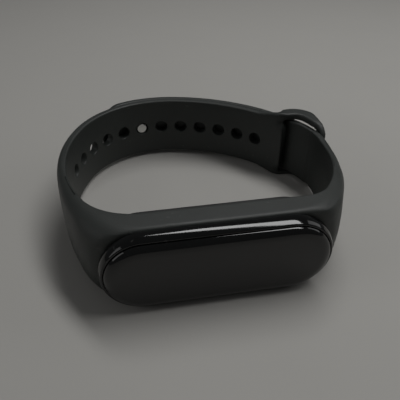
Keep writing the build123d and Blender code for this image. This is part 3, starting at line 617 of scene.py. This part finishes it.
def stadium_piece(name, profile, material, ring=False, count=48):
    """A profile of (inset, depth behind the display's face) carried round a stadium: each outline
    is the capsule's own, moved in by the inset, with points along its straight runs too. A ring's
    profile closes on itself, and any other piece is closed flat inside its first and last
    outlines."""
    radius, run = CAPSULE_HEIGHT / 2, (CAPSULE_LENGTH - CAPSULE_HEIGHT) / 2
    turn = np.linspace(-pi / 2, pi / 2, count)
    straight = np.linspace(-run, run, 42)[1:-1]
    angle = np.concatenate([turn, np.full(40, pi / 2), turn + pi, np.full(40, -pi / 2)])
    centre = np.concatenate([np.full(count, run), straight[::-1], np.full(count, -run), straight])
    inset, depth = np.array(profile, float).T[:, :, None]
    x = centre + (radius - inset) * np.cos(angle)
    z = (radius - inset) * np.sin(angle)
    points = placed(x, FACE_Y + depth + 0 * x, z).reshape(-1, 3)
    index = np.arange(x.size).reshape(x.shape)
    if ring:
        faces = [ribbon_faces(np.concatenate([index, index[:1]]))]
    else:
        faces = [ribbon_faces(index), index[:1], index[-1:]]
    return mesh_object(name, points, faces, material)


# ---------------------------------------------------------------- finishes


def group_socket(group, name, in_out, kind, default=None):
    socket = group.interface.new_socket(name=name, in_out=in_out, socket_type=kind)
    if default is not None:
        socket.default_value = default


def speckle_group():
    """Shared surface texture: fine grain for a Bump node's height, soft patches and sparse dust
    specks as masks. All three are noise on the object's own coordinates."""
    group = bpy.data.node_groups.new("surface_grain", "ShaderNodeTree")
    group_socket(group, "Grain Scale", "INPUT", "NodeSocketFloat", 4000.0)
    group_socket(group, "Patch Scale", "INPUT", "NodeSocketFloat", 60.0)
    group_socket(group, "Dust Scale", "INPUT", "NodeSocketFloat", 900.0)
    group_socket(group, "Height", "OUTPUT", "NodeSocketFloat")
    group_socket(group, "Patches", "OUTPUT", "NodeSocketFloat")
    group_socket(group, "Dust", "OUTPUT", "NodeSocketFloat")
    nodes, links = group.nodes, group.links
    taken, given = nodes.new("NodeGroupInput"), nodes.new("NodeGroupOutput")
    place = nodes.new("ShaderNodeTexCoord")
    for label, detail, low, high, out in (
        ("Grain Scale", 2.0, 0.3, 0.7, "Height"),
        ("Patch Scale", 4.0, 0.35, 0.65, "Patches"),
        ("Dust Scale", 3.0, 0.66, 0.74, "Dust"),
    ):
        noise = nodes.new("ShaderNodeTexNoise")
        noise.inputs["Detail"].default_value = detail
        spread = nodes.new("ShaderNodeMapRange")
        spread.inputs["From Min"].default_value = low
        spread.inputs["From Max"].default_value = high
        links.new(place.outputs["Object"], noise.inputs["Vector"])
        links.new(taken.outputs[label], noise.inputs["Scale"])
        links.new(noise.outputs["Fac"], spread.inputs["Value"])
        links.new(spread.outputs["Result"], given.inputs[out])
    return group


def window_group():
    """The display seen through the glass: a mask that is 1 inside a stadium about the glass's
    middle, from the distance to its middle line, and the display's fine rows as a sine of height."""
    group = bpy.data.node_groups.new("display_window", "ShaderNodeTree")
    for label, default in (("Half Run", 0.0145), ("Radius", 0.0056), ("Rows", 2600.0)):
        group_socket(group, label, "INPUT", "NodeSocketFloat", default)
    group_socket(group, "Window", "OUTPUT", "NodeSocketFloat")
    group_socket(group, "Rows", "OUTPUT", "NodeSocketFloat")
    nodes, links = group.nodes, group.links
    taken, given = nodes.new("NodeGroupInput"), nodes.new("NodeGroupOutput")
    place, split, join = (nodes.new(f"ShaderNode{kind}") for kind in ("TexCoord", "SeparateXYZ", "CombineXYZ"))
    centred = nodes.new("ShaderNodeMapping")
    centred.inputs["Location"].default_value = (-MIDDLE_X, 0, -MIDDLE_Z)
    links.new(place.outputs["Object"], centred.inputs["Vector"])
    links.new(centred.outputs["Vector"], split.inputs["Vector"])

    def maths(operation, first, second=None):
        node = nodes.new("ShaderNodeMath")
        node.operation = operation
        for socket, value in zip(node.inputs, (first, second)):
            if isinstance(value, float):
                socket.default_value = value
            elif value is not None:
                links.new(value, socket)
        return node.outputs[0]

    past = maths("SUBTRACT", maths("ABSOLUTE", split.outputs["X"]), taken.outputs["Half Run"])
    links.new(maths("MAXIMUM", past, 0.0), join.inputs["X"])
    links.new(split.outputs["Z"], join.inputs["Z"])
    far = nodes.new("ShaderNodeVectorMath")
    far.operation = "LENGTH"
    links.new(join.outputs["Vector"], far.inputs[0])
    edge = nodes.new("ShaderNodeMapRange")
    edge.interpolation_type = "SMOOTHSTEP"
    edge.inputs["From Min"].default_value = -0.00008
    edge.inputs["From Max"].default_value = 0.00008
    links.new(maths("SUBTRACT", taken.outputs["Radius"], far.outputs["Value"]), edge.inputs["Value"])
    links.new(edge.outputs["Result"], given.inputs["Window"])
    wave = maths("SINE", maths("MULTIPLY", split.outputs["Z"], maths("MULTIPLY", taken.outputs["Rows"], tau)))
    rows = nodes.new("ShaderNodeMapRange")
    rows.inputs["From Min"].default_value = -1
    links.new(wave, rows.inputs["Value"])
    links.new(rows.outputs["Result"], given.inputs["Rows"])
    return group


def show_display(material, colour, lit):
    """Adds the display window to the cover glass, its rows alternating between two dark colours."""
    nodes, links = material.node_tree.nodes, material.node_tree.links
    shader = nodes["Principled BSDF"]
    window = nodes.new("ShaderNodeGroup")
    window.node_tree = window_group()
    before = shader.inputs["Base Color"].links[0].from_socket
    for factor, first, second in (("Rows", colour, lit), ("Window", before, None)):
        mix = nodes.new("ShaderNodeMix")
        mix.data_type = "RGBA"
        links.new(window.outputs[factor], mix.inputs["Factor"])
        if second is not None:
            mix.inputs["A"].default_value, mix.inputs["B"].default_value = (*first, 1), (*second, 1)
            screen = mix.outputs["Result"]
        else:
            links.new(first, mix.inputs["A"])
            links.new(screen, mix.inputs["B"])
            links.new(mix.outputs["Result"], shader.inputs["Base Color"])


def finish(name, colour, second, roughness, spread, bump=0.0, metallic=0.0, dust=0.0, coat=0.0,
           grain=4000.0, patches=60.0, specular=0.5):
    """A Principled finish: two close colours mixed by soft patches, roughness that wanders with
    them, dust that lightens and dulls, and a fine grain in the bump."""
    material = bpy.data.materials.new(name)
    material.use_nodes = True
    nodes, links = material.node_tree.nodes, material.node_tree.links
    shader = nodes["Principled BSDF"]
    shader.inputs["Metallic"].default_value = metallic
    shader.inputs["Coat Weight"].default_value = coat
    shader.inputs["Coat Roughness"].default_value = 0.04
    shader.inputs["Specular IOR Level"].default_value = specular
    texture = nodes.new("ShaderNodeGroup")
    texture.node_tree = bpy.data.node_groups.get("surface_grain") or speckle_group()
    texture.inputs["Grain Scale"].default_value = grain
    texture.inputs["Patch Scale"].default_value = patches
    tone = nodes.new("ShaderNodeMix")
    tone.data_type = "RGBA"
    tone.inputs["A"].default_value = (*colour, 1)
    tone.inputs["B"].default_value = (*second, 1)
    links.new(texture.outputs["Patches"], tone.inputs["Factor"])
    dusty = nodes.new("ShaderNodeMix")
    dusty.data_type = "RGBA"
    dusty.inputs["B"].default_value = (0.22, 0.22, 0.21, 1)
    share = nodes.new("ShaderNodeMath")
    share.operation = "MULTIPLY"
    share.inputs[1].default_value = dust
    links.new(texture.outputs["Dust"], share.inputs[0])
    links.new(share.outputs[0], dusty.inputs["Factor"])
    links.new(tone.outputs["Result"], dusty.inputs["A"])
    links.new(dusty.outputs["Result"], shader.inputs["Base Color"])
    rough = nodes.new("ShaderNodeMapRange")
    rough.inputs["To Min"].default_value = roughness
    rough.inputs["To Max"].default_value = roughness + spread
    links.new(texture.outputs["Patches"], rough.inputs["Value"])
    links.new(rough.outputs["Result"], shader.inputs["Roughness"])
    if bump:
        relief = nodes.new("ShaderNodeBump")
        relief.inputs["Strength"].default_value = bump
        relief.inputs["Distance"].default_value = 0.00005
        links.new(texture.outputs["Height"], relief.inputs["Height"])
        links.new(relief.outputs["Normal"], shader.inputs["Normal"])
    return material


# ---------------------------------------------------------------- settings


def length(name, description, default, low, high):
    """A length setting, given here in millimetres and kept in metres."""
    return FloatProperty(
        name=name, description=description, default=default * MM, min=low * MM, max=high * MM,
        precision=5, unit="LENGTH",
    )


def colour(name, description, default):
    return FloatVectorProperty(
        name=name, description=description, subtype="COLOR", default=default, min=0, max=1
    )


class StrapSettings(PropertyGroup):
    hole_arm_thickness: length("Hole arm thickness", "From the wrist side to the outer side", 1.9, 1.0, 4.0)
    stud_arm_thickness: length("Stud arm thickness", "From the wrist side to the outer side", 1.8, 1.0, 4.0)
    ring_end_thickness: length("Ring end thickness", "Thickness of the keeper ring's end bar", 1.4, 0.8, 3.0)
    hole_radius: length("Hole radius", "Radius of each adjustment hole", 1.7, 0.8, 2.4)
    ring_bar_reach: length(
        "Ring bar reach", "How far the ring's bars reach in over the stud arm's edges", 0.9, 0.0, 1.5
    )
    shoulder_round: length("Shoulder rounding", "Added to the outer rounding at the shoulders", 1.0, 0.0, 1.5)
    hole_draft: length("Hole draft", "How much narrower each hole is on the outer side", 0.25, 0.0, 0.5)
    hole_round: length("Rim rounding", "Rounding at the rim of every hole", 0.3, 0.05, 0.5)
    outer_round: length("Outer rounding", "Rounding along the strap's outer edges", 0.7, 0.1, 0.9)
    inner_round: length("Wrist side rounding", "Rounding along the edges on the wrist", 0.4, 0.1, 0.8)
    crown: length("Crown", "How much thicker the arms are at mid height", 0.12, 0.0, 0.4)
    tip_corner: length("Tip corner", "Radius of the free end's corners", 7.2, 1.0, 7.6)
    colour: colour("Silicone", "Main colour of the silicone", (0.0205, 0.0242, 0.022))
    worn: colour("Silicone, handled", "Colour where the silicone is handled", (0.028, 0.0318, 0.029))


class CapsuleSettings(PropertyGroup):
    face_inset: length("Face inset", "From the outline in to the flat face", 3.2, 1.0, 4.0)
    groove_inset: length(
        "Groove inset", "From the outline in to the line between glass and rim", 1.0, 0.4, 2.0
    )
    groove: length("Groove", "Width of the line between glass and rim", 0.1, 0.02, 0.3)
    glass: colour("Display", "Colour of the dark display under the glass", (0.0035, 0.0035, 0.0035))
    body: colour("Body", "Moulded rim and the print round the display", (0.0025, 0.0028, 0.0028))


class StageSettings(PropertyGroup):
    floor: colour("Floor", "Colour of the floor", (0.46, 0.45, 0.425))
    key: FloatProperty(
        name="Key light", description="Power of the strip over the band", default=0.98, min=0, max=50,
        unit="POWER",
    )
    side: FloatProperty(
        name="Side lights", description="Power of each side light", default=0.14, min=0, max=50,
        unit="POWER",
    )
    fill: FloatProperty(
        name="Surroundings", description="Strength of the even light from all round", default=0.07,
        min=0, max=5,
    )


def in_millimetres(settings):
    """A copy of the settings with each length turned from metres into millimetres."""
    copy = SimpleNamespace()
    for name in settings.__annotations__:
        value = getattr(settings, name)
        is_length = settings.bl_rna.properties[name].unit == "LENGTH"
        setattr(copy, name, value / MM if is_length else value)
    return copy


# ---------------------------------------------------------------- pieces


class BAND_OT_strap(Operator):
    """Build the strap body with its holes, capsule opening and keeper ring, and the stud arm's free end"""

    bl_idname = "band.strap"
    bl_label = "Strap"

    def execute(self, context):
        strap = in_millimetres(context.scene.band_strap)
        silicone = finish(
            "silicone", strap.colour, strap.worn, 0.42, 0.12, bump=0.35, dust=0.12, grain=5200,
        )
        body, shape = strap_body(strap, silicone)
        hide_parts("strap_cradle", "hole_arm", "buckle_ring", "stud_arm")
        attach(body, "strap")
        free, line = stud_strap(strap, shape, silicone)
        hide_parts("stud_arm_tip")
        hinge = hinge_on(line)
        x, y, nx, ny = on_track(line, np.array([hinge - 2.5, hinge + 2.5]))
        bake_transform(free)
        return {"FINISHED"}


def hinge_on(line):
    """Length of the stud arm's line at its flexing joint, the point nearest the joint's own."""
    joint = next(j for j in frame["joints"] if j["name"] == "tip_peel")
    px, py = joint["pos_m"][0], joint["pos_m"][1]
    places = placed(line[1], line[2], 0 * line[1])
    return line[0][np.argmin(np.hypot(places[:, 0] - px, places[:, 1] - py))]


class BAND_OT_stud(Operator):
    """Turn the metal stud: the head and neck that snap into a hole, and the round cap outside"""

    bl_idname = "band.stud"
    bl_label = "Stud"

    def execute(self, context):
        strap = in_millimetres(context.scene.band_strap)
        steel = finish(
            "stud_metal", (0.74, 0.74, 0.72), (0.66, 0.66, 0.64), 0.27, 0.1, bump=0.15, metallic=0.8,
            grain=2500,
        )
        line = hole_arm_line()
        x, y, nx, ny = (float(a) for a in on_track(line, HOLE_ARM_START + STUD_LENGTH))
        under = strap.hole_arm_thickness + LAYER_GAP + strap.stud_arm_thickness
        head = rounded_profile(
            [(0.01, 0.15), (1.43, 0.15), (1.43, 1.05), (1.1, 1.25), (1.1, under - 0.7), (0.01, under - 0.7)],
            [0.3, 0.2, 0.1, 0.02],
        )
        pin = turned_piece("stud_head", head, (x, y), (nx, ny), steel)
        cap_line = rounded_profile(
            [
                (0.01, under - 0.68), (3.38, under - 0.68), (3.38, under - 0.02), (2.9, under + 0.12),
                (1.6, under + 0.26), (0.01, under + 0.3),
            ],
            [0.05, 0.3, 0.6, 0.8],
        )
        cap = turned_piece("stud_disc", cap_line, (x, y), (nx, ny), steel, count=96)
        for piece, node in ((pin, "stud_pin"), (cap, "stud_cap")):
            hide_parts(node)
            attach(piece, "strap_tip")
        return {"FINISHED"}


class BAND_OT_capsule(Operator):
    """Build the capsule's curved cover glass and its glossy rim"""

    bl_idname = "band.capsule"
    bl_label = "Capsule"

    def execute(self, context):
        capsule = in_millimetres(context.scene.band_capsule)
        glass = finish(
            "cover_glass", capsule.body, capsule.body, 0.05, 0.03, coat=0.15, dust=0.03,
        )
        show_display(glass, capsule.glass, [2 * c for c in capsule.glass])
        gloss = finish("gloss_black", capsule.body, capsule.body, 0.06, 0.03, bump=0.02, dust=0.1)
        inset, groove = capsule.face_inset, capsule.groove_inset
        crest, seat = 1.2, 1.65
        # Flat face, then a quarter of an ellipse down to the groove
        angle = np.linspace(0, pi / 2, 22)
        edge = np.stack([inset - (inset - groove) * np.sin(angle), (crest + 0.1) * (1 - np.cos(angle))], -1)
        flat = np.stack([np.array([8.6, 7.4, 6.0, 4.6, inset + 0.3]), np.zeros(5)], -1)
        under = [(groove + 0.02, seat - 0.1), (groove + 0.3, seat), (groove + 0.8, seat), (8.6, seat - 0.5)]
        cover = stadium_piece("front_glass", np.concatenate([flat, edge, under]), glass)
        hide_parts("cover_glass")
        outline = rounded_profile(
            [
                (2.6, 1.95), (groove + 0.2, 1.95), (groove - capsule.groove, crest + 0.02), (0.5, crest),
                (0.0, 2.4), (0.0, 3.75), (0.25, 4.0), (2.3, 4.0), (2.4, 5.3), (3.5, 5.3), (3.5, 1.95),
            ],
            [0.1, 0.08, 0.3, 1.0, 0.2, 0.15, 0.1, 0.1, 0.1],
        )
        ring = stadium_piece("capsule_rim", outline[:-1], gloss, ring=True)
        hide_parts("front_frame")
        for piece in (cover, ring):
            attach(piece, "capsule")
        return {"FINISHED"}


class BAND_OT_inside(Operator):
    """Give every part kept from the frame its own finish"""

    bl_idname = "band.inside"
    bl_label = "Kept parts"

    def execute(self, context):
        looks = {
            "back_housing": finish("matt_black", (0.012, 0.012, 0.012), (0.017, 0.017, 0.017), 0.42, 0.1, bump=0.3, dust=0.08),
            "sensor_window": finish("window_black", (0.008, 0.007, 0.007), (0.012, 0.01, 0.01), 0.07, 0.05, coat=0.5),
            "charging_contacts": finish("gold", (0.8, 0.55, 0.2), (0.72, 0.5, 0.2), 0.22, 0.12, metallic=1.0, bump=0.1),
            "sealing_gasket": finish("gasket", (0.05, 0.05, 0.055), (0.07, 0.07, 0.075), 0.6, 0.1, bump=0.3),
            "touch_film": finish("film", (0.05, 0.055, 0.06), (0.06, 0.065, 0.07), 0.15, 0.05),
            "display_panel": finish("display", (0.015, 0.016, 0.02), (0.02, 0.021, 0.026), 0.1, 0.05),
            "display_plate": finish("plate_metal", (0.6, 0.6, 0.6), (0.5, 0.5, 0.5), 0.35, 0.1, metallic=1.0, bump=0.2),
            "display_flex": finish("flex", (0.42, 0.16, 0.03), (0.5, 0.2, 0.05), 0.35, 0.1, bump=0.1),
            "main_board": finish("board", (0.01, 0.06, 0.03), (0.015, 0.08, 0.04), 0.35, 0.15, bump=0.2, patches=900),
            "processor_chip": finish("chip", (0.02, 0.02, 0.021), (0.03, 0.03, 0.03), 0.5, 0.1, bump=0.2),
            "sensor_leds": finish("led", (0.25, 0.6, 0.3), (0.3, 0.7, 0.35), 0.25, 0.1),
            "photodiode": finish("photodiode", (0.05, 0.03, 0.06), (0.06, 0.04, 0.08), 0.15, 0.1),
            "battery": finish("battery_foil", (0.62, 0.63, 0.64), (0.55, 0.56, 0.57), 0.3, 0.15, metallic=0.8, bump=0.4, grain=1500),
            "battery_tape": finish("tape", (0.7, 0.68, 0.6), (0.62, 0.6, 0.52), 0.6, 0.1),
            "motor_weight": finish("weight_metal", (0.4, 0.4, 0.42), (0.34, 0.34, 0.36), 0.4, 0.15, metallic=1.0, bump=0.2),
        }
        like = {
            "battery_flex": "display_flex", "memory_chip": "processor_chip", "motion_sensor": "processor_chip",
            "shield_can": "display_plate", "antenna_strip": "charging_contacts", "light_barrier": "back_housing",
            "motor_pad": "sealing_gasket", "motor_can": "display_plate", "motor_shaft": "display_plate",
        }
        for node, thing in frame["nodes"].items():
            look = looks.get(like.get(node, node))
            if look is None:
                continue
            if not thing.material_slots:
                raise RuntimeError(f"{node} has no material slot")
            for slot in thing.material_slots:
                slot.material = look
        return {"FINISHED"}


class BAND_OT_stage(Operator):
    """Lay the floor and set the lights and the camera"""

    bl_idname = "band.stage"
    bl_label = "Stage"

    def execute(self, context):
        stage = context.scene.band_stage
        grid = np.linspace(-1.5, 1.5, 9)
        x, y = np.meshgrid(grid, grid, indexing="ij")
        index = np.arange(x.size).reshape(x.shape)
        cells = np.stack([index[:-1, :-1], index[1:, :-1], index[1:, 1:], index[:-1, 1:]], -1)
        points = np.stack([x, y, 0 * x], -1).reshape(-1, 3)
        look = finish("floor", stage.floor, [c * 0.985 for c in stage.floor], 0.75, 0.1, patches=20)
        floor = mesh_object("floor", points, [cells.reshape(-1, 4)], look)

        world = bpy.data.worlds.new("surroundings")
        world.use_nodes = True
        world.node_tree.nodes["Background"].inputs["Color"].default_value = (0.98, 0.99, 1.0, 1)
        world.node_tree.nodes["Background"].inputs["Strength"].default_value = stage.fill
        context.scene.world = world
        for name, place, size, power in (
            ("key", (0.14, 0.06, 0.42), (0.46, 0.09), stage.key),
            ("side_right", (0.42, 0.02, 0.22), (0.2, 0.26), stage.side),
            ("side_left", (-0.42, -0.06, 0.22), (0.2, 0.26), stage.side),
        ):
            lamp = bpy.data.lights.new(name, "AREA")
            lamp.shape = "RECTANGLE"
            lamp.size, lamp.size_y = size
            lamp.energy = power
            thing = bpy.data.objects.new(name, lamp)
            aim = np.array([0, -0.02, 0.01]) - np.array(place)
            flat = float(np.hypot(aim[0], aim[1]))
            thing.location = place
            thing.rotation_euler = (float(np.arctan2(flat, -aim[2])), 0, float(np.arctan2(-aim[0], aim[1])))
            context.scene.collection.objects.link(thing)

        lens = bpy.data.cameras.new("camera")
        lens.lens = 41.03
        lens.sensor_width = 36
        lens.clip_start = 0.001
        camera = bpy.data.objects.new("camera", lens)
        camera.location = (-0.017133, -0.093236, 0.07238)
        camera.rotation_euler = (radians(53.41), 0, radians(-10.18))
        context.scene.collection.objects.link(camera)
        context.scene.camera = camera
        context.scene.view_settings.view_transform = "Standard"
        return {"FINISHED"}


class BAND_PT_panel(Panel):
    """The band's pieces in the sidebar, in building order"""

    bl_idname = "BAND_PT_panel"
    bl_label = "Fitness Tracker Band"
    bl_space_type = "VIEW_3D"
    bl_region_type = "UI"
    bl_category = "Band"

    def draw(self, context):
        scene = context.scene
        for settings, steps in (
            (scene.band_strap, (BAND_OT_strap, BAND_OT_stud)),
            (scene.band_capsule, (BAND_OT_capsule, BAND_OT_inside)),
            (scene.band_stage, (BAND_OT_stage,)),
        ):
            box = self.layout.box()
            for name in settings.__annotations__:
                box.prop(settings, name)
            for step in steps:
                box.operator(step.bl_idname)


SETTINGS = (
    ("band_strap", StrapSettings),
    ("band_capsule", CapsuleSettings),
    ("band_stage", StageSettings),
)
STEPS = (BAND_OT_strap, BAND_OT_stud, BAND_OT_capsule, BAND_OT_inside, BAND_OT_stage)
CLASSES = tuple(group for name, group in SETTINGS) + STEPS + (BAND_PT_panel,)


def register():
    for item in CLASSES:
        bpy.utils.register_class(item)
    for name, group in SETTINGS:
        setattr(bpy.types.Scene, name, PointerProperty(type=group))


def unregister():
    for name, group in SETTINGS:
        delattr(bpy.types.Scene, name)
    for item in reversed(CLASSES):
        bpy.utils.unregister_class(item)


def main():
    register()
    for step in STEPS:
        group, call = step.bl_idname.split(".")
        getattr(getattr(bpy.ops, group), call)()


if __name__ == "__main__":
    main()
